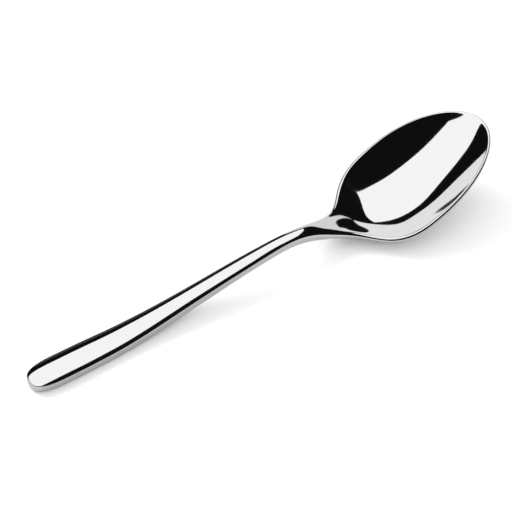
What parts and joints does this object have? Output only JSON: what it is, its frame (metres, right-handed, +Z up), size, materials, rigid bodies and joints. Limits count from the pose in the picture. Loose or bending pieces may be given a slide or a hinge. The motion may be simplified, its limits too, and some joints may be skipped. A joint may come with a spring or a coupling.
{
  "type": "dessert spoon",
  "caption": "Polished steel dessert spoon: an egg-shaped dished bowl on a flared neck, with a slim solid handle that has a domed top, upright sides and a rounded end.",
  "frame": {"origin": "on the table plane that the spoon lies on, below the centre of its bounding box", "axes": "+X along the spoon from the end of the handle to the tip of the bowl, +Y across it, +Z up out of the bowl"},
  "size_m": [0.18, 0.0414, 0.0244],
  "materials": {
    "polished_steel": "mirror-polished stainless steel"
  },
  "bodies": {
    "root": {"bowl": "polished_steel", "handle": "polished_steel"}
  },
  "joints": []
}
